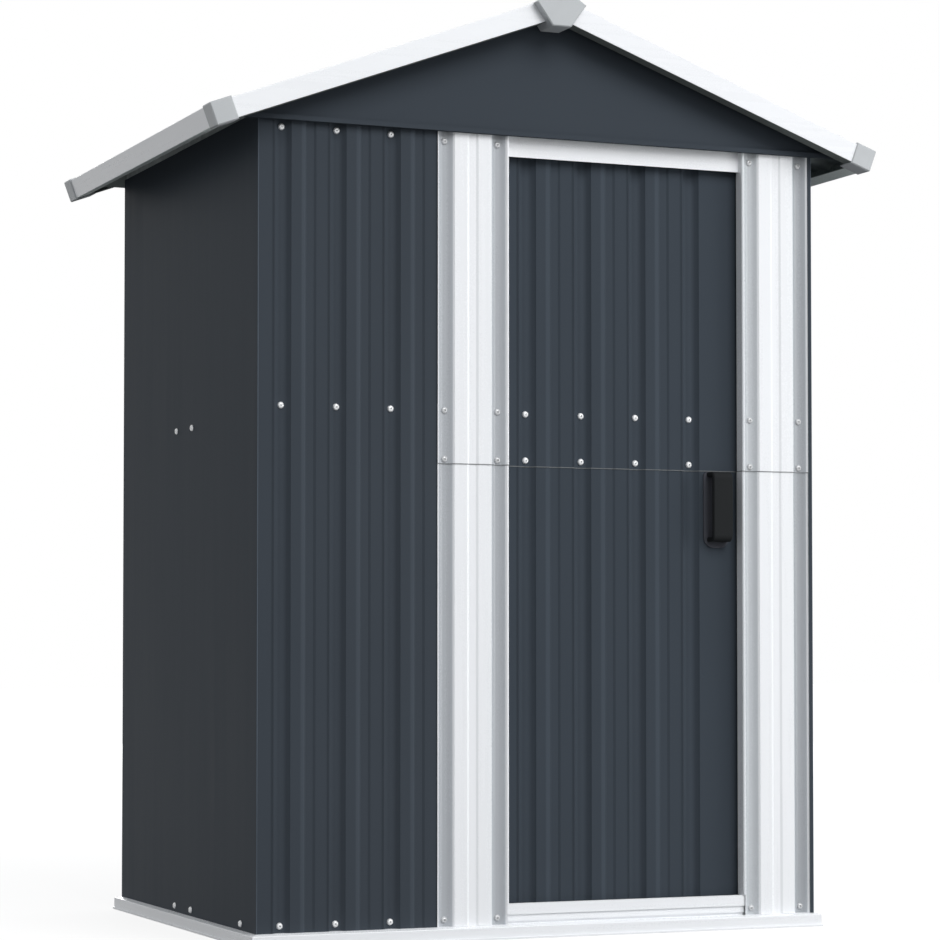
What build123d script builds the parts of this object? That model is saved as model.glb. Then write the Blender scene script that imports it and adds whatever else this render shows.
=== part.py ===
from build123d import *
import os
from math import atan, cos, sin, sqrt

os.makedirs("parts", exist_ok=True)

# Small steel garden shed with a gable roof and one sliding door.
# Millimetres, +Z up, the front faces -Y, the ground is Z = 0.

# Walls
wall_width = 1148.0
wall_depth = 878.0
wall_height = 1485.0            # base rail top to the lower edge of the gables
sheet = 0.8                     # all roll-formed sheets
sheet_bend = 3.0                # outer radius of a fold in the sheet
seat_gap = 0.1                  # between pieces that are screwed together
run_gap = 0.3                   # between the door's runners and their tracks
overrun = 5.0                   # lets a cut pass right through
corner_flange = 8.6             # side walls folded round the corners
wall_lap = 120.0                # the two sheets of a side wall lap at its middle
sheet_tuck = 14.0               # sheets reach up behind the gables

# Rib profile of the walls, posts and roof: a deep valley, then a crest with a shallow bead
rib_pitch = 107.7
valley_width = 33.7
rib_depth = 10.0
rib_run = 9.5                   # width of each flank of a valley
rib_bend = 12.0                 # soft folds at the valley floors
bead_width = 23.0
bead_depth = 2.0
bead_run = 4.5

# Front wall: a panel, then a post on each side of the doorway
panel_ribs = 3
first_valley = 30.3             # left corner to the first valley
lap_floor = 12.0                # valley floor tucked under the next sheet
jamb_lip = 3.8
jamb_depth = 24.0
seam_height = 861.5             # lower edge of the upper sheets above the base rail
seam_lap = 112.0

# Base rail
rail_height = 26.0
rail_metal = 1.2
rail_bend = 1.8
rail_toe = 12.0                 # rail face ahead of the wall
rail_lip = 2.5                  # foot ahead of the rail face
rail_lip_height = 3.5
rail_ledge_fall = 3.0
rail_foot = 50.0                # bottom flange under the shed
rail_upstand = 34.0

# Door tracks, one channel below and one above
track_depth = 52.0
track_bend = 1.8
track_front_height = 38.5
track_back_height = 22.0
header_drop = 36.0              # header below the gable's edge
header_rise = 19.0
header_back_drop = 30.0
header_ledge = 9.0
sill_step_heights = (18.0, 5.0)     # shadow steps of the sill above the base rail
sill_step = 3.5
sill_reach = 9.0                # sill ahead of the bottom track

# Door
door_lap_left = 14.0            # door behind the posts when closed
door_lap_right = 19.0
door_face = 28.5                # behind the face of the front wall
door_rib_pitch = 116.0
door_valley_width = 37.4
door_first_valley = 45.6        # from the door's left edge
door_clear = 5.0
stile_width = 20.0
stile_depth = 20.0
brace_height = 30.0
glide_length = 40.0
glide_height = 14.0
glide_neck = 6.0
glide_inset = 60.0
shoe_width = 24.0

# Handle
handle_height = 148.0
handle_width = 56.0
handle_plate = 3.0
handle_top_round = 9.0
handle_foot_round = 22.0
handle_from_jamb = 14.3
handle_below_seam = 1.0
grip_width = 42.0
grip_height = 136.0
grip_drop = 0.5                 # top of the grip below the plate's
grip_reach = 30.0
grip_bar = 9.0
grip_bend = 13.0                # outer radius at the grip's ends
grip_edge = 2.0                 # chamfer along the grip's rims

# Inner rails
brace_depth = 18.0
brace_metal = 1.2
front_brace_depth = 8.0
mid_rail_over_seam = 103.5      # middle of the rails above the seam
mid_rail_width = 40.0
top_rail_rise = 38.0            # top of the rails above the gable's edge
top_rail_width = 50.0
ridge_beam_width = 70.0
ridge_beam_leg = 39.0

# Roof
roof_width = 1370.0
roof_depth = 1000.0
roof_rise_share = 0.3685        # rise for each unit of run
edge_height = 39.0              # edge trims, square to the roof
edge_metal = 1.0
edge_bend = 1.6
edge_top_flange = 25.0
edge_bottom_flange = 28.0
gable_reach = 60.0              # gables past the side walls
gable_hem = 9.0
gable_hem_step = 9.0            # hem ahead of the gable
ridge_gap = 12.0                # roof sheets stop short of the ridge
ridge_half_width = 48.5
ridge_rise = 29.0
cap_wall = 2.5
cap_edge = 2.0                  # chamfer along the caps' rims
corner_cap_reach = 42.0
ridge_cap_foot = 33.0
ridge_cap_drop = 41.0           # widest level down to the foot
ridge_cap_front = 18.0          # ahead of the trims
ridge_cap_tail = 40.0

# Derived places
left, right = -wall_width / 2, wall_width / 2
front, back = -wall_depth / 2, wall_depth / 2
nest = sheet * sqrt(2) + seat_gap       # forward step of a ribbed sheet that laps over another
z_wall = rail_height
z_eave = rail_height + wall_height
z_sheet_top = z_eave + sheet_tuck
z_seam = rail_height + seam_height
z_track = z_wall + track_front_height
z_header = z_eave - header_drop
z_header_top = z_eave + header_rise
z_ledge = z_header_top - header_back_drop + brace_metal
z_mid_rail = z_seam + mid_rail_over_seam
z_top_rail = z_eave + top_rail_rise
post_left_x = left + first_valley + panel_ribs * rib_pitch
opening_left = post_left_x + rib_pitch + valley_width + jamb_lip
post_right_x = right - corner_flange - valley_width - rib_pitch
opening_right = post_right_x - jamb_lip
y_valley_back = front + rib_depth + sheet
y_track = y_valley_back + seat_gap
y_track_back = y_track + track_depth
side_upstand = sheet + rail_bend + seat_gap
back_upstand = rib_depth + nest + side_upstand
slope = atan(roof_rise_share)
roof_under = edge_metal + rib_depth + sheet + 2 * seat_gap      # roof plane to the valleys' underside
z_ridge = z_top_rail + seat_gap + roof_under / cos(slope) + roof_rise_share * wall_width / 2
z_ridge_under = z_ridge - roof_under / cos(slope) - seat_gap
roof_run = roof_width / 2 / cos(slope)
half_depth = roof_depth / 2

made = {}


def keep(name, shape):
    """Store a piece, which has to be one solid."""
    (solid,) = shape.solids()
    made[name] = solid


def keep_pair(name, shape):
    """Store a right-hand piece and its mirror image."""
    keep(f"{name}_right", shape)
    keep(f"{name}_left", mirrored_x(shape))


def mirrored_x(shape):
    return mirror(shape, about=Plane.YZ)


def mirrored_y(shape):
    return mirror(shape, about=Plane.XZ)


def block(x0, x1, y0, y1, z0, z1):
    return Pos(x0, y0, z0) * Box(x1 - x0, y1 - y0, z1 - z0, align=(Align.MIN, Align.MIN, Align.MIN))


def polygon(points):
    return make_face(Polyline(*points, close=True))


def bent(points, metal, radius):
    """Section of folded sheet: a rounded path, thickened to the left of its direction.

    radius is one for all folds, or a list with one for each point between the ends.
    """
    near = [Vector(x, y) for x, y in points]
    near_radii = radius if isinstance(radius, list) else [radius] * (len(near) - 2)
    sides = [(b - a).normalized().rotate(Axis.Z, 90) for a, b in zip(near, near[1:])]
    far, far_radii = [near[0] + sides[0] * metal], []
    for point, before, after, fold in zip(near[1:], sides, sides[1:], near_radii):
        far.append(point + (before + after) * (metal / (1 + before.dot(after))))
        leftwards = before.cross(after).Z > 0
        far_radii.append(max(fold - metal, 0) if leftwards or not fold else fold + metal)
    far.append(near[-1] + sides[-1] * metal)
    ends = [Line(near[0], far[0]), Line(near[-1], far[-1])]
    skins = [FilletPolyline(*near, radius=near_radii), FilletPolyline(*far, radius=far_radii)]
    return make_face([edge for line in skins + ends for edge in line.edges()])


def rib_folds(points):
    """Fold radii of a ribbed path: soft at the valley floors, crisp at the crests and beads."""
    return [rib_bend if y == rib_depth else 0 for x, y in points[1:-1]]


def ribbed(points):
    """Section of a ribbed sheet."""
    return bent(points, sheet, rib_folds(points))


def upright(face, bottom, top):
    return Pos(0, 0, bottom) * extrude(face, top - bottom, dir=(0, 0, 1))


def along_x(face, x0, x1):
    """Extrude a (Y, Z) section from x0 to x1."""
    plane = Plane(origin=(x0, 0, 0), x_dir=(0, 1, 0), z_dir=(1, 0, 0))
    return extrude(plane.location * face, x1 - x0, dir=(1, 0, 0))


def along_y(face, y0, y1):
    """Extrude an (X, Z) section from y0 to y1."""
    plane = Plane(origin=(0, y0, 0), x_dir=(1, 0, 0), z_dir=(0, -1, 0))
    return extrude(plane.location * face, y1 - y0, dir=(0, 1, 0))


def valley(x, width):
    return [(x, 0), (x + rib_run, rib_depth), (x + width - rib_run, rib_depth), (x + width, 0)]


def bead(middle):
    x0, x1 = middle - bead_width / 2, middle + bead_width / 2
    return [(x0, 0), (x0 + bead_run, bead_depth), (x1 - bead_run, bead_depth), (x1, 0)]


def ribs(valleys, width):
    """Plan of a run of valleys with a bead on each crest between them."""
    points = valley(valleys[0], width)
    for before, x in zip(valleys, valleys[1:]):
        points += bead((before + width + x) / 2) + valley(x, width)
    return points


def centred_valleys(span):
    """Places of as many valleys as fit in a span about zero."""
    count = int((span - valley_width) / rib_pitch) + 1
    start = -((count - 1) * rib_pitch + valley_width) / 2
    return [start + i * rib_pitch for i in range(count)]


# Base rails: folded channels with a sloping ledge and a foot, mitred at the corners
def rail(length, distance, inner_end):
    """Rail along X with its wall's face at y = distance; inner_end closes the section inwards."""
    reach = rail_toe + rail_lip
    section = [
        (rail_foot, 0),
        (-reach, 0),
        (-reach, rail_lip_height),
        (-rail_toe, rail_lip_height),
        (-rail_toe, rail_height - rail_ledge_fall),
        (0, rail_height),
    ]
    path = [(distance + y, z) for y, z in reversed(section + inner_end)]
    folds = [rail_bend if z > rail_lip_height else 0 for y, z in path[1:-1]]
    half = length / 2 + reach
    bar = along_x(bent(path, rail_metal, folds), -half, half)
    inner = max(rail_foot, track_depth + rib_depth) + overrun
    tip = half - reach - inner
    plan = polygon([(-half, -reach), (half, -reach), (tip, inner), (-tip, inner)])
    return bar & upright(Pos(0, distance) * plan, 0, rail_height + rail_upstand)


def upstand(depth):
    """End of a rail's section that rises behind the wall."""
    return [(depth, rail_height), (depth, rail_height + rail_upstand)]


side_rail = rail(wall_depth, left, upstand(side_upstand))
keep("base_rail_front", rail(wall_width, front, [(y_track_back - front, rail_height)]))
keep("base_rail_back", mirrored_y(rail(wall_width, front, upstand(back_upstand))))
keep("base_rail_left", Rot(0, 0, -90) * side_rail)
keep("base_rail_right", Rot(0, 0, 90) * side_rail)

# Front wall panel, whose last valley floor is tucked under the left post
panel_valleys = [left + first_valley + i * rib_pitch for i in range(panel_ribs + 1)]
panel = [(left + sheet_bend, 0)] + ribs(panel_valleys, valley_width)[:-2]
panel.append((post_left_x + rib_run + lap_floor, rib_depth))
keep("front_wall", Pos(0, front) * upright(ribbed(panel), z_wall, z_sheet_top))


# Door posts: two lapped halves, each folded back into a jamb
def jamb_notch(y_from, bottom, top):
    """Cut that lets the sill or the header pass the jamb."""
    x0, x1 = opening_left - jamb_lip, opening_left + overrun
    return block(x0, x1, y_from, front + jamb_depth + overrun, bottom, top)


def post(outer_flat):
    """Lower and upper half of the left post; outer_flat runs on under a corner fold."""
    crest = ribs([post_left_x, post_left_x + rib_pitch], valley_width)
    if outer_flat:
        crest.insert(0, (post_left_x - outer_flat, 0))
    face = crest + [(opening_left, 0)]
    section = bent(face + [(opening_left, jamb_depth)], sheet, rib_folds(face) + [sheet_bend])
    y_lower = front - nest
    lower = Pos(0, y_lower) * upright(section, z_wall, z_seam)
    lower += Pos(0, y_lower) * upright(ribbed(crest), z_seam, z_seam + seam_lap)
    lower -= jamb_notch(y_lower - overrun, z_wall - overrun, z_track + seat_gap)
    upper = Pos(0, y_lower - nest) * upright(section, z_seam + seat_gap, z_sheet_top)
    upper -= jamb_notch(y_valley_back, z_header - seat_gap, z_sheet_top + overrun)
    return lower, upper


to_right = Pos(post_left_x + post_right_x + rib_pitch + valley_width, 0, 0)
for half, shape in zip(("lower", "upper"), post(0)):
    keep(f"door_post_left_{half}", shape)
for half, shape in zip(("lower", "upper"), post(corner_flange - sheet_bend)):
    keep(f"door_post_right_{half}", to_right * mirrored_x(shape))


# Side walls: flat sheets folded round the corners, two to a side
def side_wall(front_fold):
    """Front and back sheet of the left wall; front_fold is how far its fold stands ahead."""
    x_fold, x_step = left + corner_flange, left - sheet - seat_gap
    y_front, y_back = front - front_fold - sheet, back + sheet + seat_gap
    lap = wall_lap / 2
    front_sheet = [(x_step, lap), (x_step, y_front), (x_fold, y_front)]
    back_sheet = [(x_fold, y_back), (left, y_back), (left, -lap)]
    return [upright(bent(path, sheet, sheet_bend), z_wall, z_sheet_top) for path in (front_sheet, back_sheet)]


for end, shape in zip(("front", "back"), side_wall(seat_gap)):
    keep(f"left_wall_{end}", shape)
for end, shape in zip(("front", "back"), side_wall(2 * nest + seat_gap)):
    keep(f"right_wall_{end}", mirrored_x(shape))

# Back wall: two ribbed sheets, lapped over one valley
back_edge = right - max(side_upstand, sheet_bend)
back_valleys = centred_valleys(2 * (right - corner_flange))
shared = len(back_valleys) // 2
left_path = [(-back_edge, 0)] + ribs(back_valleys[:shared + 1], valley_width)[:-1]
right_path = ribs(back_valleys[shared:], valley_width) + [(back_edge, 0)]
back_left = Pos(0, front + nest) * upright(ribbed(left_path), z_wall, z_sheet_top)
back_right = Pos(0, front) * upright(ribbed(right_path), z_wall, z_sheet_top)
keep("back_wall_left", mirrored_y(back_left))
keep("back_wall_right", mirrored_y(back_right))

# Door tracks: a channel on the base rail, a stepped sill in the doorway and a header
track_end = right - side_upstand - rail_metal - seat_gap
track = [
    (y_track, z_track),
    (y_track, z_wall),
    (y_track_back, z_wall),
    (y_track_back, z_wall + track_back_height),
]
keep("door_bottom_track", along_x(bent(track, brace_metal, track_bend), -track_end, track_end))
y_sill = y_track - seat_gap - sill_reach
sill = [(y_track - seat_gap, z_track), (y_sill, z_track)]
for height in sill_step_heights:
    sill += [(y_sill, z_wall + height), (y_sill + sill_step, z_wall + height)]
    y_sill += sill_step
sill.append((y_sill, z_wall))
sill_end = jamb_lip - seat_gap
keep("door_sill", along_x(bent(sill, brace_metal, 0), opening_left - sill_end, opening_right + sill_end))
header = [
    (y_track_back - header_ledge, z_ledge - brace_metal),
    (y_track_back, z_ledge - brace_metal),
    (y_track_back, z_header_top),
    (y_track, z_header_top),
    (y_track, z_header),
]
keep("door_header_track", along_x(bent(header, brace_metal, track_bend), -track_end, track_end))

# Door: ribbed sheets in two lapped halves on a frame of channels
x_door = opening_left - door_lap_left
x_door_end = opening_right + door_lap_right
y_door = front + door_face
door_flat = door_lap_right + handle_from_jamb + handle_width    # plain strip that carries the handle
door_span = x_door_end - x_door - door_first_valley - door_valley_width - door_flat
door_ribs = int(door_span / door_rib_pitch) + 1
door_valleys = [x_door + door_first_valley + i * door_rib_pitch for i in range(door_ribs)]
door_path = [(x_door, 0)] + ribs(door_valleys, door_valley_width) + [(x_door_end, 0)]
door_bottom = z_wall + brace_metal + door_clear
door_top = z_ledge - brace_metal - door_clear
door_section = ribbed(door_path)
keep("door_sheet_lower", Pos(0, y_door + nest) * upright(door_section, door_bottom, z_seam + seam_lap))
keep("door_sheet_upper", Pos(0, y_door) * upright(door_section, z_seam, door_top))
y_stile = y_door + nest + sheet + seat_gap
y_frame_back = y_stile + stile_depth
stile = [
    (x_door, y_frame_back),
    (x_door, y_stile),
    (x_door + stile_width, y_stile),
    (x_door + stile_width, y_frame_back),
]
door_stile = upright(bent(stile, brace_metal, 0), door_bottom, door_top)
keep("door_stile_left", door_stile)
keep("door_stile_right", Pos(x_door_end - x_door - stile_width, 0, 0) * door_stile)
y_brace = y_door + nest + rib_depth + sheet + seat_gap


def channel(y_web, y_rim, bottom, top):
    """Section of a channel with its web towards the front."""
    return bent([(y_rim, top), (y_web, top), (y_web, bottom), (y_rim, bottom)], brace_metal, 0)


def door_brace(bottom):
    section = channel(y_brace, y_frame_back, bottom, bottom + brace_height)
    return along_x(section, x_door + stile_width + seat_gap, x_door_end - stile_width - seat_gap)


keep("door_bottom_rail", door_brace(door_bottom))
keep("door_mid_rail", door_brace(z_mid_rail - brace_height / 2))
keep("door_top_rail", door_brace(door_top - brace_height))

# Runners: glides hooked over the header's ledge, shoes in the bottom track
y_neck = y_track_back - header_ledge - glide_neck
y_hook = y_track_back - brace_metal - run_gap
glide_low, glide_top = z_ledge + run_gap, z_ledge + run_gap + glide_height
for name, middle in (("left", x_door + glide_inset), ("right", x_door_end - glide_inset)):
    x0, x1 = middle - glide_length / 2, middle + glide_length / 2
    glide = block(x0, x1, y_brace, y_neck, door_top, glide_top)
    glide += block(x0, x1, y_brace, y_hook, glide_low, glide_top)
    keep(f"door_glide_{name}", glide)
    shoe = block(x0, x1, y_stile, y_stile + shoe_width, z_wall + brace_metal + run_gap, door_bottom)
    keep(f"door_shoe_{name}", shoe)

# Handle: a rounded plate on the door's plain strip, with a hollow pull
handle_x1 = opening_right - handle_from_jamb
handle_x0 = handle_x1 - handle_width
handle_top = z_seam - handle_below_seam
handle_low = handle_top - handle_height
y_plate = y_door + nest - handle_plate
plate = block(handle_x0, handle_x1, y_plate, y_door + nest, handle_low, handle_top)
plate = fillet(plate.edges().filter_by(Axis.Y).group_by(Axis.Z)[-1], handle_top_round)
plate = fillet(plate.edges().filter_by(Axis.Y).group_by(Axis.Z)[0], handle_foot_round)
keep("handle_plate", plate)
grip_middle = (handle_x0 + handle_x1) / 2
grip_x0, grip_x1 = grip_middle - grip_width / 2, grip_middle + grip_width / 2
grip_high = handle_top - grip_drop
grip_low = grip_high - grip_height
y_grip = y_plate - grip_reach
grip = block(grip_x0, grip_x1, y_grip, y_plate, grip_low, grip_high)
grip = fillet(grip.edges().filter_by(Axis.X).group_by(Axis.Y)[0], grip_bend)
gap = block(grip_x0, grip_x1, y_grip + grip_bar, y_plate, grip_low + grip_bar, grip_high - grip_bar)
grip -= fillet(gap.edges().filter_by(Axis.X).group_by(Axis.Y)[0], grip_bend - grip_bar)
sides = grip.faces().sort_by(Axis.X)
rims = [e for e in sides[0].edges() + sides[-1].edges() if e.center().Y < y_plate - grip_edge]
keep("handle_grip", chamfer(rims, grip_edge))

# Inner rails: channels along the walls at mid height and at the top
mid_low, mid_high = z_mid_rail - mid_rail_width / 2, z_mid_rail + mid_rail_width / 2
top_low = z_top_rail - top_rail_width
panel_end = post_left_x + rib_run + lap_floor
front_brace = channel(y_track, y_track + front_brace_depth, mid_low, mid_high)
keep("mid_rail_front", along_x(front_brace, -track_end, panel_end))
y_back_rail = y_track + nest
x_side_rail = right - sheet - seat_gap
back_end = x_side_rail - brace_depth - seat_gap
side_start, side_end = y_track_back + door_clear, -y_back_rail
for name, low, high in (("mid", mid_low, mid_high), ("top", top_low, z_top_rail)):
    back_brace = channel(y_back_rail, y_back_rail + brace_depth, low, high)
    keep(f"{name}_rail_back", mirrored_y(along_x(back_brace, -back_end, back_end)))
    side_brace = channel(-x_side_rail, -x_side_rail + brace_depth, low, high)
    keep_pair(f"{name}_rail", mirrored_x(along_y(side_brace, side_start, side_end)))

# Gables: flat sheets with a stepped hem, under the roof
y_gable = front - 2 * (nest + sheet + seat_gap)
gable_tip = right + gable_reach
z_tip = z_ridge_under - roof_rise_share * gable_tip
gable_outline = [
    (-gable_tip, z_eave),
    (gable_tip, z_eave),
    (gable_tip, z_tip),
    (0, z_ridge_under),
    (-gable_tip, z_tip),
]
gable = along_y(polygon(gable_outline), y_gable - sheet, y_gable)
z_hem = z_eave + gable_hem
hem = [(y_gable, z_hem), (y_gable - gable_hem_step, z_hem), (y_gable - gable_hem_step, z_eave)]
gable += along_x(bent(hem, sheet, 0), -gable_tip, gable_tip)
keep("front_gable", gable)
keep("back_gable", mirrored_y(gable))

# Roof slopes, built flat: X along the ridge, Y up from the slope, Z down the slope
slope_plane = Plane(origin=(0, 0, z_ridge), x_dir=(0, 1, 0), z_dir=(cos(slope), 0, -sin(slope)))
sheet_half = half_depth - edge_bend - seat_gap
roof_points = [(-sheet_half, 0)] + ribs(centred_valleys(2 * sheet_half), valley_width) + [(sheet_half, 0)]
roof_path = [(-x, -edge_metal - seat_gap - y) for x, y in roof_points]
roof_section = bent(roof_path, sheet, rib_folds(roof_points))
roof_sheet = upright(roof_section, ridge_gap, roof_run - edge_bend - seat_gap)
keep_pair("roof_sheet", slope_plane.location * roof_sheet)


# Edge trims: channels along the gables and the eaves
def edge_section(outer, inwards):
    """Path of a trim with its web at outer; inwards is +1 or -1."""
    return [
        (outer + inwards * edge_bottom_flange, -edge_height),
        (outer, -edge_height),
        (outer, 0),
        (outer + inwards * edge_top_flange, 0),
    ]


trim_end = roof_run - max(edge_top_flange, edge_bottom_flange) - seat_gap
trim_path = list(reversed(edge_section(-half_depth, 1)))
gable_trim = slope_plane.location * upright(bent(trim_path, edge_metal, edge_bend), -edge_height, trim_end)
ridge_cut = Plane(origin=(seat_gap / 2, 0, 0), x_dir=(0, 1, 0), z_dir=(1, 0, 0))
gable_trim = split(gable_trim, bisect_by=ridge_cut, keep=Keep.TOP)
keep_pair("gable_trim_front", gable_trim)
keep_pair("gable_trim_back", mirrored_y(gable_trim))
eave_plane = Plane(origin=(half_depth, 0, 0), x_dir=(0, 0, 1), z_dir=(-1, 0, 0))
eave_section = eave_plane.location * bent(edge_section(roof_run, -1), edge_metal, edge_bend)
eave_trim = extrude(eave_section, roof_depth, dir=(-1, 0, 0))
keep_pair("eave_trim", slope_plane.location * eave_trim)

# Plastic caps over the roof's corners
cap_out = cap_wall + seat_gap
cap_inner, cap_top = -half_depth + corner_cap_reach, roof_run - corner_cap_reach
outer = block(-half_depth - cap_out, cap_inner, -edge_height - cap_out, cap_out, cap_top, roof_run + cap_out)
outer_edges = [e for e in outer.edges() if e.center().X < -half_depth or e.center().Z > roof_run]
hollow = block(-half_depth - seat_gap, cap_inner + overrun, -edge_height - seat_gap, seat_gap,
               cap_top - overrun, roof_run + seat_gap)
corner_cap = slope_plane.location * (chamfer(outer_edges, cap_edge) - hollow)
keep_pair("corner_cap_front", corner_cap)
keep_pair("corner_cap_back", mirrored_y(corner_cap))

# Ridge: a peaked flashing, an inner beam and a cap at each end
z_foot = z_ridge - roof_rise_share * ridge_half_width + seat_gap / cos(slope)
flashing = [(-ridge_half_width, z_foot), (0, z_foot + ridge_rise), (ridge_half_width, z_foot)]
keep("ridge_flashing", along_y(bent(flashing, edge_metal, edge_bend), -half_depth, half_depth))
beam_x = ridge_beam_width / 2
z_beam = z_ridge_under - seat_gap
z_beam_edge = z_beam - roof_rise_share * beam_x
beam = [
    (beam_x, z_beam_edge - ridge_beam_leg),
    (beam_x, z_beam_edge),
    (0, z_beam),
    (-beam_x, z_beam_edge),
    (-beam_x, z_beam_edge - ridge_beam_leg),
]
y_beam = y_gable + seat_gap
keep("ridge_beam", along_y(bent(beam, brace_metal, 0), y_beam, -y_beam))


def cap_outline(grow):
    """Front view of a ridge cap, grown outwards."""
    return polygon([
        (-ridge_cap_foot / 2 - grow, z_foot - ridge_cap_drop - grow),
        (ridge_cap_foot / 2 + grow, z_foot - ridge_cap_drop - grow),
        (ridge_half_width + grow, z_foot),
        (0, z_foot + ridge_rise + cap_wall + grow),
        (-ridge_half_width - grow, z_foot),
    ])


y_cap = -half_depth - ridge_cap_front
cap = along_y(cap_outline(cap_wall), y_cap, -half_depth + ridge_cap_tail)
cap = chamfer(cap.edges().group_by(Axis.Y)[0], cap_edge)
cap -= along_y(cap_outline(0), y_cap + cap_wall, half_depth)
z_clear = z_ridge - (edge_height + seat_gap) / cos(slope)
z_clear_edge = z_clear - roof_rise_share * roof_width
roof_zone = [
    (0, z_clear),
    (roof_width, z_clear_edge),
    (roof_width, z_ridge + ridge_rise + overrun),
    (-roof_width, z_ridge + ridge_rise + overrun),
    (-roof_width, z_clear_edge),
]
cap -= along_y(polygon(roof_zone), -half_depth - seat_gap, half_depth)
keep("ridge_cap_front", cap)
keep("ridge_cap_back", mirrored_y(cap))

for name, shape in made.items():
    export_step(shape, f"parts/{name}.step")
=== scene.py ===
import math

import bmesh
import bpy
from mathutils import Matrix, Vector


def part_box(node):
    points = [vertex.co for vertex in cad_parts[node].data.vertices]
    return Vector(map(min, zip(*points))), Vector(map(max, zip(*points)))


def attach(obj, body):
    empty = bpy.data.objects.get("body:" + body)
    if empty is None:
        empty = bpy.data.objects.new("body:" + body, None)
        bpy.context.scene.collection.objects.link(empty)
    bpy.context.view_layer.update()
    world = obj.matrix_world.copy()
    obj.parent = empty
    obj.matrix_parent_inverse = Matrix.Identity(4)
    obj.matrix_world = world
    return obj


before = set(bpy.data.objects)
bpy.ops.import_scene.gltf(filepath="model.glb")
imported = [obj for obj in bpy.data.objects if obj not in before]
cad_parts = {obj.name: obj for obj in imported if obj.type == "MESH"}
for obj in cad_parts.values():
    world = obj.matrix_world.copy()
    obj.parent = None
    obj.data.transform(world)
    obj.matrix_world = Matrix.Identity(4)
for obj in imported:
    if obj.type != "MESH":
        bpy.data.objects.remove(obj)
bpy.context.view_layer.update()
scene = bpy.context.scene
scene.view_settings.view_transform = "Standard"

# Directions
ROOF_RISE = 0.3685                      # rise for each metre of run, as in the CAD
SLOPE = math.atan(ROOF_RISE)
FRONT, BACK = Vector((0, -1, 0)), Vector((0, 1, 0))
LEFT, RIGHT = Vector((-1, 0, 0)), Vector((1, 0, 0))
UP, DOWN = Vector((0, 0, 1)), Vector((0, 0, -1))
ROOF_LEFT = Vector((-math.sin(SLOPE), 0, math.cos(SLOPE)))
ROOF_RIGHT = Vector((math.sin(SLOPE), 0, math.cos(SLOPE)))
EAVE_LEFT = Vector((-math.cos(SLOPE), 0, -math.sin(SLOPE)))
EAVE_RIGHT = Vector((math.cos(SLOPE), 0, -math.sin(SLOPE)))

# Sizes of the ribbed sheets in metres, as in the CAD
RIB_PITCH, VALLEY, RIB_DEPTH = 0.1077, 0.0337, 0.010
FIRST_VALLEY, FOLD, JAMB_LIP = 0.0303, 0.0030, 0.0038
DOOR_RIB_PITCH, DOOR_VALLEY, DOOR_FIRST_VALLEY = 0.116, 0.0374, 0.0456
PANEL_VALLEYS, POST_VALLEYS, DOOR_VALLEYS, BACK_VALLEYS = 3, 2, 4, 11

# Colours
ANTHRACITE = (0.050, 0.060, 0.073)
DOOR_ANTHRACITE = (0.0485, 0.0595, 0.0735)
WHITE = (0.86, 0.875, 0.90)
BACK_COAT = (0.42, 0.46, 0.45)
GABLE_TRIM_SHADE = (0.15, 0.165, 0.16)         # painted shade under the gable trims, the back coat darkened
UNDER_EAVE = (0.74, 0.80, 0.785)        # under the eave trims
# Grey of a line painted along a seam's lower edge: a painted highlight on the dark door, a painted shadow
# on the white posts
PAINTED_SEAM_LINE_GREY = (0.17, 0.18, 0.185)
DARK_CRYSTAL, PALE_CRYSTAL, FROST = (0.40, 0.43, 0.44), (0.60, 0.63, 0.63), (0.50, 0.52, 0.52)
CAP_GREY = (0.47, 0.49, 0.505)
GRIP_BLACK = (0.019, 0.0205, 0.0215)
# Painted light: the plate's black is paler than the grip's, lifting the plate where it lies in the grip's
# shade
PLATE_BLACK = (0.070, 0.073, 0.086)
RUNNER_WHITE = (0.70, 0.70, 0.68)
SCREW_WHITE, RECESS_GREY = (0.84, 0.85, 0.86), (0.46, 0.47, 0.48)
SHADED_WHITE, SHADED_GREY = (0.56, 0.57, 0.58), (0.28, 0.29, 0.30)

# Painted shade and painted highlights: tones that the paint is multiplied by, from a valley's mouth to its
# floor, or across a rib
PLAIN = (1.0, 1.0, 1.0)
VALLEY_SHADE = [(0.25, PLAIN), (0.36, (0.62, 0.64, 0.66)), (1.0, (0.47, 0.485, 0.50))]
OPEN_SHADE = [(0.25, PLAIN), (0.40, (0.66, 0.68, 0.69)), (1.0, (0.57, 0.59, 0.60))]
FAR_SHADE = [(0.25, PLAIN), (0.36, (0.56, 0.58, 0.60)), (1.0, (0.42, 0.435, 0.45))]
LIP_SHADE = [(0.0, (0.80, 0.82, 0.83)), (1.0, PLAIN)]
LIP_BLUR = 0.001                        # metres over which the jamb's lip turns into its valley
SEAM_LINE_FADE = (0.00128, 0.0016)            # metres above a cut lower edge over which the painted seam line fades out, a painted highlight on dark sheets and a painted shadow on white ones
FOLD_HIGHLIGHT_GAIN = 2.6                         # painted highlight: paler paint round a corner fold
RIB_LEAD = 0.1                          # share of a pitch ahead of a valley's left edge
RIB_LEVEL = 0.5                         # share of the last pitch after which the tone stays as it is
# Painted shade and painted highlights across each rib of a dark sheet: a dark line at each valley's edge,
# paler lines on its flanks and beads
RIB_LIGHT_AND_SHADE = (
    (0.055, 1.0), (0.08, 0.74), (0.105, 0.74), (0.13, 1.06), (0.17, 1.06), (0.22, 1.0), (0.31, 1.18),
    (0.39, 1.18), (0.42, 1.0), (0.585, 1.0), (0.61, 1.28), (0.655, 1.28), (0.68, 1.0))

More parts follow.
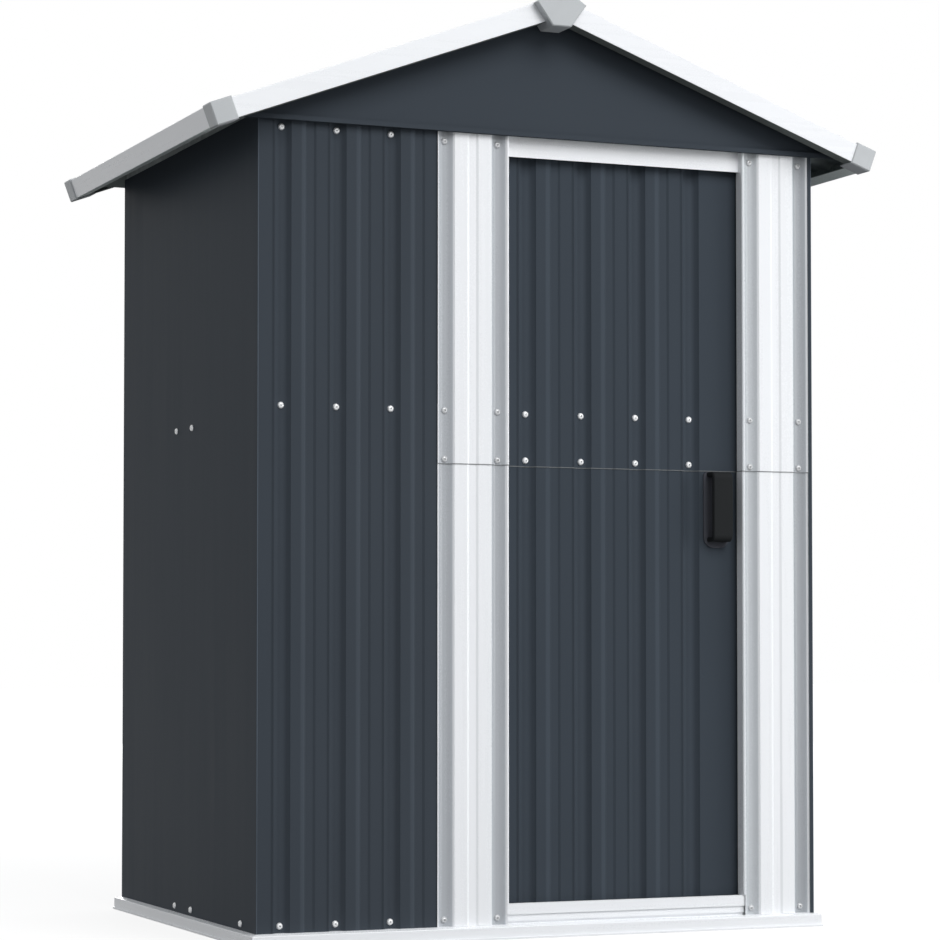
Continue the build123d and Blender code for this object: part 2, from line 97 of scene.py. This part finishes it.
# Limits of a face's turn between two looks, 1 where it faces the direction squarely
SEEN_FACE, INNER_FACE, UNDERSIDE, CORNER_FOLD = (0.4, 0.5), (0.25, 0.35), (0.6, 0.7), (0.55, 0.9)
STREAKS_ACROSS, STREAKS_ALONG = 38.0, 1.6       # scale of the streaks that the rollers leave
NOISE_LOW, NOISE_HIGH = 0.3, 0.7                # where nearly all values of a noise lie
CELL_LOW, CELL_HIGH = 0.1, 0.9                  # where most values of the zinc's crystals lie
COLOUR_A, COLOUR_B, COLOUR_OUT = 6, 7, 2        # a Mix node's sockets for colours


# Node trees
def set_inputs(node, values):
    """Give a node's own sockets constant values."""
    for socket, value in values.items():
        node.inputs[socket].default_value = value


class NodeTree:
    """The nodes of a material or of the world, with short calls to add more."""

    def __init__(self, owner):
        owner.use_nodes = True
        self.tree = owner.node_tree

    def add(self, kind, **settings):
        node = self.tree.nodes.new(kind)
        for key, value in settings.items():
            setattr(node, key, value)
        return node

    def link(self, output, socket):
        self.tree.links.new(output, socket)

    def spread(self, factor, low, high, start=NOISE_LOW, end=NOISE_HIGH):
        """low to high while factor goes from start to end."""
        node = self.add("ShaderNodeMapRange")
        set_inputs(node, {"From Min": start, "From Max": end, "To Min": low, "To Max": high})
        self.link(factor, node.inputs["Value"])
        return node.outputs["Result"]

    def math(self, operation, first, second=0.0):
        node = self.add("ShaderNodeMath", operation=operation)
        self.link(first, node.inputs[0])
        if isinstance(second, (int, float)):
            node.inputs[1].default_value = second
        else:
            self.link(second, node.inputs[1])
        return node.outputs[0]

    def shown_rays(self):
        """1 for rays that show the background: from the camera, a gloss or a clear surface."""
        rays = self.add("ShaderNodeLightPath").outputs
        shown = self.math("MAXIMUM", rays["Is Camera Ray"], rays["Is Glossy Ray"])
        return self.math("MAXIMUM", shown, rays["Is Transmission Ray"])

    def either(self, factor, first, second):
        """The first shader where factor is 0, the second where it is 1."""
        node = self.add("ShaderNodeMixShader")
        self.link(factor, node.inputs["Fac"])
        self.link(first.outputs[0], node.inputs[1])
        self.link(second.outputs[0], node.inputs[2])
        return node


class Surface(NodeTree):
    """A material with a Principled shader and the nodes that feed it."""

    def __init__(self, name, values):
        self.material = bpy.data.materials.new(name)
        super().__init__(self.material)
        self.principled = next(node for node in self.tree.nodes if node.type == "BSDF_PRINCIPLED")
        set_inputs(self.principled, values)
        self.coords = self.add("ShaderNodeTexCoord").outputs

    def feed(self, output, socket):
        self.link(output, self.principled.inputs[socket])

    def stretched(self, scale):
        node = self.add("ShaderNodeMapping")
        set_inputs(node, {"Scale": scale})
        self.link(self.coords["Object"], node.inputs["Vector"])
        return node.outputs["Vector"]

    def noise(self, scale, detail, roughness=0.5, vector=None):
        node = self.add("ShaderNodeTexNoise")
        set_inputs(node, {"Scale": scale, "Detail": detail, "Roughness": roughness})
        self.link(vector or self.coords["Object"], node.inputs["Vector"])
        return node.outputs["Fac"]

    def cells(self, scale):
        node = self.add("ShaderNodeTexVoronoi")
        set_inputs(node, {"Scale": scale})
        self.link(self.coords["Object"], node.inputs["Vector"])
        return node.outputs["Color"]

    def ramp(self, factor, stops):
        node = self.add("ShaderNodeValToRGB")
        elements = node.color_ramp.elements
        while len(elements) < len(stops):
            elements.new(1.0)
        for element, (place, colour) in zip(elements, stops):
            element.position = place
            element.color = (*colour, 1.0)
        self.link(factor, node.inputs["Fac"])
        return node.outputs["Color"]

    def blended(self, first, second, share):
        """A share of the first value, and the second for the rest."""
        rest = self.math("MULTIPLY", second, 1 - share)
        return self.math("ADD", self.math("MULTIPLY", first, share), rest)

    def mix(self, factor, first, second):
        """The first colour where factor is 0, the second where it is 1."""
        node = self.add("ShaderNodeMix", data_type="RGBA")
        self.link(factor, node.inputs["Factor"])
        self.link(first, node.inputs[COLOUR_A])
        self.link(second, node.inputs[COLOUR_B])
        return node.outputs[COLOUR_OUT]

    def multiply(self, first, second):
        """Two colours multiplied."""
        node = self.add("ShaderNodeMix", data_type="RGBA", blend_type="MULTIPLY")
        set_inputs(node, {"Factor": 1.0})
        self.link(first, node.inputs[COLOUR_A])
        self.link(second, node.inputs[COLOUR_B])
        return node.outputs[COLOUR_OUT]

    def facing(self, direction, limits):
        """1 where the surface faces along direction, in the piece's own frame."""
        node = self.add("ShaderNodeVectorMath", operation="DOT_PRODUCT")
        self.link(self.coords["Normal"], node.inputs[0])
        node.inputs[1].default_value = direction
        return self.spread(node.outputs["Value"], 0.0, 1.0, *limits)

    def corner(self, limits):
        """1 on an upright fold, midway between a side face and a front or back face."""
        node = self.add("ShaderNodeSeparateXYZ")
        self.link(self.coords["Normal"], node.inputs[0])
        product = self.math("MULTIPLY", node.outputs["X"], node.outputs["Y"])
        start, end = (limit ** 2 / 4 for limit in limits)
        return self.spread(self.math("MULTIPLY", product, product), 0.0, 1.0, start, end)

    def along(self, axis):
        """The piece's own coordinate along an axis."""
        node = self.add("ShaderNodeSeparateXYZ")
        self.link(self.coords["Object"], node.inputs[0])
        return node.outputs[axis]

    def passing(self, axis, start, end):
        """0 to 1 from one place to another along an axis."""
        return self.spread(self.along(axis), 0.0, 1.0, start, end)

    def across_ribs(self, first, pitch, count):
        """0 to 1 over each rib, its valley's left edge at RIB_LEAD, and level after the last valley."""
        from_first = self.math("SUBTRACT", self.along("X"), first - RIB_LEAD * pitch)
        place = self.math("MULTIPLY", from_first, 1 / pitch)
        return self.math("FRACT", self.math("MINIMUM", place, count - 1 + RIB_LEVEL))

    def matt_below(self, gloss):
        """No gloss on the underside. Returns 1 there."""
        under = self.facing(DOWN, UNDERSIDE)
        self.feed(self.spread(under, gloss, 0.0, 0.0, 1.0), "Specular IOR Level")
        return under

    def bump(self, height, distance, strength):
        node = self.add("ShaderNodeBump")
        set_inputs(node, {"Distance": distance, "Strength": strength})
        self.link(height, node.inputs["Height"])
        self.feed(node.outputs["Normal"], "Normal")


def scaled(colour, factor):
    return tuple(channel * factor for channel in colour)


def around(colour, share):
    """Two stops, a little darker and a little lighter than a colour."""
    return [(NOISE_LOW, scaled(colour, 1 - share)), (NOISE_HIGH, scaled(colour, 1 + share))]


# Materials
def painted_valley_shade(surface, crest, doorway):
    """Painted shade in a ribbed post's valleys behind its crests at crest, a Y.

    Where doorway is given, an X, the valley beside the doorway ends there. It is less shaded than the
    other one, and the lip before it is a little darker than the crests.
    """
    depth = surface.passing("Y", crest, crest + RIB_DEPTH)
    if doorway is None:
        return surface.ramp(depth, VALLEY_SHADE)
    shade = surface.mix(surface.passing("X", doorway, doorway + RIB_PITCH / 2),
                        surface.ramp(depth, OPEN_SHADE), surface.ramp(depth, FAR_SHADE))
    lip = doorway - VALLEY
    return surface.multiply(shade, surface.ramp(surface.passing("X", lip, lip + LIP_BLUR), LIP_SHADE))


def painted_sheet(name, colour, outward, run, roughness, vary, gloss,
                  crest=None, doorway=None, ribs=None, cut=None, folded=False, below=None):
    """Coil-coated steel: satin paint outside, a grey-green back coat on the inner face.

    run is the way that the sheet was rolled. crest and doorway give the valleys of a post a painted shade.
    ribs is the first valley, the pitch and the number of ribs that take painted shade and painted
    highlights of their own, and cut the Z of a lower edge along which a grey line is painted: a painted
    highlight on a dark sheet, a painted shadow on a white one. Side walls can show a painted highlight,
    paler paint, round their corner folds, and below is the matt colour under a trim, a painted shade under
    the gable trims.
    """
    surface = Surface(name, {"IOR": 1.5, "Specular IOR Level": gloss})
    broad = surface.noise(scale=2.3, detail=2.0)
    rolled = [STREAKS_ACROSS + (STREAKS_ALONG - STREAKS_ACROSS) * abs(part) for part in run]
    streaks = surface.noise(scale=1.0, detail=4.0, roughness=0.6, vector=surface.stretched(rolled))
    grain = surface.noise(scale=420.0, detail=2.0)
    clouds = surface.blended(broad, streaks, share=0.75)
    paint = surface.ramp(clouds, around(colour, vary))
    # Painted shade in the valleys of a post
    if crest is not None:
        valley = surface.multiply(paint, painted_valley_shade(surface, crest, doorway))
        paint = surface.mix(surface.facing(outward, SEEN_FACE), paint, valley)
    # Painted shade and painted highlights across the ribs of a dark sheet
    if ribs is not None:
        palest = max(tone for place, tone in RIB_LIGHT_AND_SHADE)
        tones = [(place, scaled(PLAIN, tone / palest)) for place, tone in RIB_LIGHT_AND_SHADE]
        paler = surface.ramp(clouds, around(scaled(colour, palest), vary))
        paint = surface.multiply(paler, surface.ramp(surface.across_ribs(*ribs), tones))
    # Painted highlight: paler paint round the corner folds of the side walls
    if folded:
        fold = surface.ramp(streaks, around(scaled(colour, FOLD_HIGHLIGHT_GAIN), share=0.2))
        paint = surface.mix(surface.corner(CORNER_FOLD), paint, fold)
    # A grey line painted along the sheet's lower edge: a painted highlight on the dark door, a painted
    # shadow at the seam of the white posts
    if cut is not None:
        fading, ended = (cut + distance for distance in SEAM_LINE_FADE)
        zinc_and_seam_line = surface.ramp(grain, around(PAINTED_SEAM_LINE_GREY, share=0.1))
        paint = surface.mix(surface.passing("Z", fading, ended), zinc_and_seam_line, paint)
    coat = surface.ramp(surface.noise(scale=55.0, detail=3.0), around(BACK_COAT, share=0.1))
    paint = surface.mix(surface.facing(-outward, INNER_FACE), paint, coat)
    # The colour under a trim, which under the gable trims is a painted shade
    if below is not None:
        matt = surface.ramp(grain, around(below, share=0.1))
        paint = surface.mix(surface.matt_below(gloss), paint, matt)
    surface.feed(paint, "Base Color")
    surface.feed(surface.spread(surface.blended(streaks, grain, share=0.7), *roughness), "Roughness")
    surface.bump(grain, distance=0.00012, strength=0.18)
    return surface.material


def anthracite(side, outward, run=UP, colour=ANTHRACITE, **details):
    return painted_sheet(f"anthracite_{side}", colour, outward, run, roughness=(0.36, 0.46), vary=0.03,
                         gloss=0.010, **details)


def white(side, outward, run=UP, **details):
    return painted_sheet(f"white_{side}", WHITE, outward, run, roughness=(0.22, 0.34), vary=0.012,
                         gloss=0.5, **details)


def galvanised():
    """Zinc with its frosted crystals."""
    surface = Surface("galvanised", {"Metallic": 0.7, "IOR": 1.5})
    crystals = surface.cells(75.0)
    fine = surface.noise(scale=260.0, detail=3.0)
    bright = surface.ramp(crystals, [(CELL_LOW, DARK_CRYSTAL), (CELL_HIGH, PALE_CRYSTAL)])
    frost = surface.ramp(fine, around(FROST, share=0.12))
    surface.feed(surface.mix(surface.spread(fine, low=0.0, high=0.35), bright, frost), "Base Color")
    surface.feed(surface.spread(crystals, low=0.34, high=0.52, start=CELL_LOW, end=CELL_HIGH), "Roughness")
    surface.bump(fine, distance=0.0001, strength=0.3)
    return surface.material


def moulded(name, colour, roughness, grain_scale, depth, gloss=0.5, matt_below=False):
    """Moulded plastic with a fine spark-eroded grain, which may be matt underneath."""
    surface = Surface(name, {"IOR": 1.47, "Specular IOR Level": gloss})
    if matt_below:
        surface.matt_below(gloss)
    grain = surface.noise(grain_scale, detail=4.0, roughness=0.65)
    broad = surface.noise(scale=14.0, detail=2.0)
    clouds = surface.blended(broad, grain, share=0.5)
    surface.feed(surface.ramp(clouds, around(colour, share=0.06)), "Base Color")
    surface.feed(surface.spread(grain, *roughness), "Roughness")
    surface.bump(grain, depth, strength=0.6)
    return surface.material


def screw_paint(name, colour):
    surface = Surface(name, {"IOR": 1.5, "Metallic": 0.25})
    grain = surface.noise(scale=600.0, detail=3.0)
    surface.feed(surface.ramp(grain, around(colour, share=0.03)), "Base Color")
    surface.feed(surface.spread(grain, low=0.2, high=0.34), "Roughness")
    surface.bump(grain, distance=0.00006, strength=0.3)
    return surface.material


def screw_recess(name, colour):
    surface = Surface(name, {"IOR": 1.5})
    grain = surface.noise(scale=900.0, detail=3.0)
    surface.feed(surface.ramp(grain, around(colour, share=0.12)), "Base Color")
    surface.feed(surface.spread(grain, low=0.35, high=0.55), "Roughness")
    return surface.material


MATERIALS = {
    "grey": moulded("grey_plastic", CAP_GREY, roughness=(0.42, 0.56), grain_scale=900.0, depth=0.00012,
                    matt_below=True),
    "grip": moulded("black_plastic", GRIP_BLACK, roughness=(0.52, 0.66), grain_scale=700.0, depth=0.00018,
                    gloss=0.03),
    "plate": moulded("black_plastic_plate", PLATE_BLACK, roughness=(0.6, 0.72), grain_scale=500.0,
                     depth=0.00024, gloss=0.03),
    "runner": moulded("runner_plastic", RUNNER_WHITE, roughness=(0.35, 0.45), grain_scale=800.0,
                      depth=0.00008),
    "zinc_and_seam_line": galvanised(),
}
door_ribs = (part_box("door_sheet_upper")[0].x + DOOR_FIRST_VALLEY, DOOR_RIB_PITCH, DOOR_VALLEYS)
panel_ribs = (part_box("front_wall")[0].x - FOLD + FIRST_VALLEY, RIB_PITCH, PANEL_VALLEYS + 1)
back_ribs = (-((BACK_VALLEYS - 1) * RIB_PITCH + VALLEY) / 2, RIB_PITCH, BACK_VALLEYS)
for side, outward in (("front", FRONT), ("back", BACK)):
    MATERIALS[f"gable_{side}"] = anthracite(f"gable_{side}", outward, RIGHT)
    MATERIALS[f"trim_{side}"] = white(f"trim_{side}", outward, RIGHT, below=GABLE_TRIM_SHADE)
    MATERIALS[f"white_{side}"] = white(side, outward, RIGHT)
for side, outward, eave, roof in (("left", LEFT, EAVE_LEFT, ROOF_LEFT),
                                  ("right", RIGHT, EAVE_RIGHT, ROOF_RIGHT)):
    MATERIALS[f"dark_{side}"] = anthracite(side, outward, folded=True)
    MATERIALS[f"dark_roof_{side}"] = anthracite(f"roof_{side}", roof, RIGHT)
    MATERIALS[f"trim_eave_{side}"] = white(f"trim_eave_{side}", eave, BACK, below=UNDER_EAVE)
    MATERIALS[f"white_{side}"] = white(side, outward, BACK)
MATERIALS["white_up"] = white("up", UP, BACK)
MATERIALS["dark_panel"] = anthracite("panel", FRONT, ribs=panel_ribs)
MATERIALS["dark_back"] = anthracite("back", BACK, ribs=back_ribs)
for half, cut in (("upper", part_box("door_sheet_upper")[0].z), ("lower", None)):
    MATERIALS[f"dark_door_{half}"] = anthracite(f"door_{half}", FRONT, colour=DOOR_ANTHRACITE,
                                                ribs=door_ribs, cut=cut)
right_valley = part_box("door_post_right_upper")[0].x + JAMB_LIP + VALLEY
for half, cut in (("upper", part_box("door_post_left_upper")[0].z), ("lower", None)):
    for side, doorway in (("left", None), ("right", right_valley)):
        MATERIALS[f"post_{side}_{half}"] = white(f"post_{side}_{half}", FRONT, cut=cut, doorway=doorway,
                                                 crest=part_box(f"door_post_{side}_{half}")[0].y)
OPEN_SCREW = (screw_paint("screw_white", SCREW_WHITE), screw_recess("screw_recess", RECESS_GREY))
# Screws on the posts take darker paint, a painted shade like that in the posts' valleys
SHADED_SCREW = (screw_paint("screw_shaded", SHADED_WHITE), screw_recess("recess_shaded", SHADED_GREY))


def finish_of(name):
    """Name of the material and of the record's slot that a CAD node takes."""
    words = name.split("_")
    if name.startswith("handle"):
        return "plate" if "plate" in name else "grip", "black_plastic"
    if name.startswith(("corner_cap", "ridge_cap")):
        return "grey", "grey_plastic"
    if name.startswith(("door_glide", "door_shoe")):
        return "runner", "runner_plastic"
    if name.startswith(("mid_rail", "top_rail", "ridge_beam", "door_stile",
                        "door_bottom_rail", "door_mid_rail", "door_top_rail")):
        return "zinc_and_seam_line", "galvanised_steel"
    if name.startswith("base_rail"):
        return f"white_{words[-1]}", "white_steel"
    if name.startswith("eave_trim"):
        return f"trim_eave_{words[-1]}", "white_steel"
    if name.startswith("gable_trim"):
        return f"trim_{words[2]}", "white_steel"
    if name == "ridge_flashing":
        return "white_up", "white_steel"
    if name.startswith("door_post"):
        return name.removeprefix("door_"), "white_steel"
    if name.startswith(("door_header", "door_sill", "door_bottom_track")):
        return "white_front", "white_steel"
    if name.startswith("roof_sheet"):
        return f"dark_roof_{words[-1]}", "anthracite_steel"
    if name.endswith("gable"):
        return f"gable_{words[0]}", "anthracite_steel"
    if name.startswith("door_sheet"):
        return f"dark_door_{words[-1]}", "anthracite_steel"
    if name == "front_wall":
        return "dark_panel", "anthracite_steel"
    return f"dark_{words[0]}", "anthracite_steel"


for name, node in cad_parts.items():
    material, slot = finish_of(name)
    node.data.materials.clear()
    node.data.materials.append(MATERIALS[material])


# Screws: a domed head with a cross recess
HEAD_RADIUS, HEAD_HEIGHT = 0.0064, 0.0044
HEAD_RINGS = ((1.0, 0.0), (1.0, 0.10), (0.97, 0.28), (0.89, 0.52), (0.76, 0.74), (0.60, 0.89), (0.44, 0.97))
CROSS_ARM, CROSS_HALF, CROSS_DEPTH, CROSS_TAPER = 0.0022, 0.0006, 0.0013, 0.8
FIRST_TURN, NEXT_TURN = 0.5, 1.1        # turn of the crosses, in radians
PAINTED, RECESSED = 0, 1                # material slots of a head


def cross_outline():
    """The corners of the cross and the middles of its sides, anticlockwise."""
    arm, half = CROSS_ARM, CROSS_HALF
    corners = [(arm, -half), (arm, half), (half, half), (half, arm), (-half, arm), (-half, half),
               (-arm, half), (-arm, -half), (-half, -half), (-half, -arm), (half, -arm), (half, -half)]
    points = []
    for start, end in zip(corners, corners[1:] + corners[:1]):
        points += [start, ((start[0] + end[0]) / 2, (start[1] + end[1]) / 2)]
    return points


def add_head(mesh, place, outward, turn):
    """One screw head on a surface at place, its cross turned by an angle."""
    to_surface = Matrix.Translation(place) @ outward.to_track_quat("Z", "Y").to_matrix().to_4x4()
    spin = Matrix.Rotation(turn, 4, "Z")
    outline = cross_outline()
    angles = [math.atan2(y, x) for x, y in outline]
    rings = []
    for share, rise in HEAD_RINGS:
        radius = HEAD_RADIUS * share
        rings.append([Vector((radius * math.cos(angle), radius * math.sin(angle), HEAD_HEIGHT * rise))
                      for angle in angles])
    recess_level = HEAD_HEIGHT - CROSS_DEPTH
    rings.append([Vector((x, y, HEAD_HEIGHT)) for x, y in outline])
    rings.append([Vector((x * CROSS_TAPER, y * CROSS_TAPER, recess_level)) for x, y in outline])
    rows = [[mesh.verts.new(to_surface @ spin @ point) for point in ring] for ring in rings]
    count = len(outline)
    for level, (lower, upper) in enumerate(zip(rows, rows[1:])):
        for here in range(count):
            after = (here + 1) % count
            face = mesh.faces.new((lower[here], lower[after], upper[after], upper[here]))
            face.material_index = RECESSED if level == len(rows) - 2 else PAINTED
            face.smooth = level < len(HEAD_RINGS) - 1
    centre = mesh.verts.new(to_surface @ Vector((0, 0, recess_level)))
    for here in range(count):
        face = mesh.faces.new((rows[-1][here], rows[-1][(here + 1) % count], centre))
        face.material_index = RECESSED
    mesh.faces.new(rows[0][::-1])


def screws(name, body, places, outward, paint_and_shade=OPEN_SCREW):
    """A group of screw heads that rides on one body."""
    mesh = bmesh.new()
    for number, place in enumerate(places):
        add_head(mesh, Vector(place), outward, FIRST_TURN + NEXT_TURN * number)
    data = bpy.data.meshes.new(name)
    mesh.to_mesh(data)
    mesh.free()
    for material in paint_and_shade:
        data.materials.append(material)
    piece = bpy.data.objects.new(name, data)
    scene.collection.objects.link(piece)
    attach(piece, body)


# Places of the screws, in metres
ROWS = (1.4745, 0.9621, 0.8711, 0.0125)         # above the base rail: top, middle, seam and foot
POST_DROP, DOOR_LIFT = 0.006, 0.003             # the posts' top row is lower, the door's seam row higher
# On the side walls each place is a distance behind the front and a height above the base rail
SIDE_PLACES = ((0.498, 0.945), (0.395, 0.945), (0.499, 0.012), (0.393, 0.012), (0.088, 0.012))
SIDE_LAP = 0.498                                # from here on the screws sit on the back sheet
rail_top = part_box("front_wall")[0].z
top_row, mid_row, seam_row, foot_row = (rail_top + row for row in ROWS)


def floor_y(node):
    """Y of the outer face of a ribbed front piece's valleys."""
    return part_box(node)[0].y + RIB_DEPTH


def valley_middles(first, pitch, width, count):
    return [first + width / 2 + number * pitch for number in range(count)]


panel_columns = valley_middles(panel_ribs[0], RIB_PITCH, VALLEY, PANEL_VALLEYS)
y = floor_y("front_wall")
screws("screws_front_panel", "shed",
       [(x, y, z) for z in (top_row, mid_row, foot_row) for x in panel_columns], FRONT)

for side, edge in (("left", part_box("door_post_left_upper")[0].x),
                   ("right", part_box("door_post_right_upper")[0].x + JAMB_LIP)):
    columns = valley_middles(edge, RIB_PITCH, VALLEY, POST_VALLEYS)
    upper, lower = floor_y(f"door_post_{side}_upper"), floor_y(f"door_post_{side}_lower")
    places = [(x, upper, z) for z in (top_row - POST_DROP, mid_row, seam_row) for x in columns]
    places += [(x, lower, foot_row) for x in columns]
    screws(f"screws_post_{side}", "shed", places, FRONT, SHADED_SCREW)

door_columns = valley_middles(door_ribs[0], DOOR_RIB_PITCH, DOOR_VALLEY, DOOR_VALLEYS)
y = floor_y("door_sheet_upper")
screws("screws_door", "door",
       [(x, y, z) for z in (mid_row, seam_row + DOOR_LIFT) for x in door_columns], FRONT)

wall_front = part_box("front_wall")[0].y
for side, outward in (("left", LEFT), ("right", RIGHT)):
    places = []
    for behind, above in SIDE_PLACES:
        low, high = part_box(f"{side}_wall_front" if behind < SIDE_LAP else f"{side}_wall_back")
        places.append((low.x if side == "left" else high.x, wall_front + behind, rail_top + above))
    screws(f"screws_{side}_wall", "shed", places, outward)

places = []
for number, x in enumerate(valley_middles(back_ribs[0], RIB_PITCH, VALLEY, BACK_VALLEYS)):
    sheet = "back_wall_left" if number < BACK_VALLEYS // 2 else "back_wall_right"
    places += [(x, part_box(sheet)[1].y - RIB_DEPTH, z) for z in (top_row, mid_row, foot_row)]
screws("screws_back_wall", "shed", places, BACK)


# Floor, light and camera
FLOOR_SIZE, FLOOR_LEVEL, FLOOR_GREY = 60.0, -0.0005, (0.25, 0.25, 0.25, 1.0)
GLOW, GLOW_REACH = (0.82, 0.92), (1.5, 7.0)     # strength at two distances from the middle
SHOWN_WHITE = (1.0, 1.0, 1.0, 1.0)
AMBIENT_COLOUR = (0.96, 0.98, 1.0, 1.0)
AMBIENT = (0.45, 0.75)                          # strength from the left and from the right
MIDDLE = (0.0, 0.0, 0.9)
CAMERA_PITCH, CAMERA_TURN = 2.102, -22.7515     # degrees


def floor_material():
    """Grey under the light, with a glow that shows it nearly white, more so away from the shed."""
    material = bpy.data.materials.new("floor_white")
    nodes = NodeTree(material)
    nodes.tree.nodes.clear()
    diffuse = nodes.add("ShaderNodeBsdfDiffuse")
    set_inputs(diffuse, {"Color": FLOOR_GREY})
    distance = nodes.add("ShaderNodeVectorMath", operation="LENGTH")
    nodes.link(nodes.add("ShaderNodeTexCoord").outputs["Object"], distance.inputs[0])
    glow = nodes.add("ShaderNodeEmission")
    set_inputs(glow, {"Color": SHOWN_WHITE})
    nodes.link(nodes.spread(distance.outputs["Value"], *GLOW, *GLOW_REACH), glow.inputs["Strength"])
    dark = nodes.add("ShaderNodeEmission")
    set_inputs(dark, {"Strength": 0.0})
    both = nodes.add("ShaderNodeAddShader")
    nodes.link(diffuse.outputs[0], both.inputs[0])
    nodes.link(nodes.either(nodes.shown_rays(), dark, glow).outputs[0], both.inputs[1])
    nodes.link(both.outputs[0], nodes.add("ShaderNodeOutputMaterial").inputs["Surface"])
    return material


def light_world():
    """Soft light from all round, weaker from the left, and a white background."""
    scene.world = bpy.data.worlds.new("studio")
    nodes = NodeTree(scene.world)
    nodes.tree.nodes.clear()
    parts = nodes.add("ShaderNodeSeparateXYZ")
    nodes.link(nodes.add("ShaderNodeTexCoord").outputs["Generated"], parts.inputs[0])
    ambient = nodes.add("ShaderNodeBackground")
    set_inputs(ambient, {"Color": AMBIENT_COLOUR})
    nodes.link(nodes.spread(parts.outputs["X"], *AMBIENT, -1.0, 1.0), ambient.inputs["Strength"])
    shown = nodes.add("ShaderNodeBackground")
    set_inputs(shown, {"Color": SHOWN_WHITE, "Strength": 1.0})
    mixed = nodes.either(nodes.shown_rays(), ambient, shown)
    nodes.link(mixed.outputs[0], nodes.add("ShaderNodeOutputWorld").inputs["Surface"])


def area_light(name, place, target, size, power):
    data = bpy.data.lights.new(name, "AREA")
    data.shape = "RECTANGLE"
    data.size, data.size_y = size
    data.energy = power
    lamp = bpy.data.objects.new(name, data)
    lamp.location = place
    lamp.rotation_euler = (Vector(target) - Vector(place)).to_track_quat("-Z", "Y").to_euler()
    scene.collection.objects.link(lamp)


reach = FLOOR_SIZE / 2
corners = [(-reach, -reach, FLOOR_LEVEL), (reach, -reach, FLOOR_LEVEL),
           (reach, reach, FLOOR_LEVEL), (-reach, reach, FLOOR_LEVEL)]
floor = bpy.data.objects.new("floor", bpy.data.meshes.new("floor"))
floor.data.from_pydata(corners, [], [(0, 1, 2, 3)])
floor.data.materials.append(floor_material())
scene.collection.objects.link(floor)

light_world()
area_light("key", place=(2.28, -10.38, 8.38), target=MIDDLE, size=(7.5, 7.5), power=936.0)
area_light("side_fill", place=(3.0, -2.2, 1.1), target=(0.2, -0.4, 0.9), size=(1.6, 2.4), power=32.0)
area_light("back_fill", place=(2.5, 10.0, 2.6), target=MIDDLE, size=(4.0, 4.0), power=315.0)

camera = bpy.data.objects.new("camera", bpy.data.cameras.new("camera"))
camera.data.lens = 113.06
camera.data.sensor_width = 36.0
camera.data.shift_y = 0.07
camera.data.clip_end = 200.0
camera.location = (-2.2918, -5.5341, 0.5510)
camera.rotation_euler = (math.radians(90 + CAMERA_PITCH), 0.0, math.radians(CAMERA_TURN))
scene.collection.objects.link(camera)
scene.camera = camera
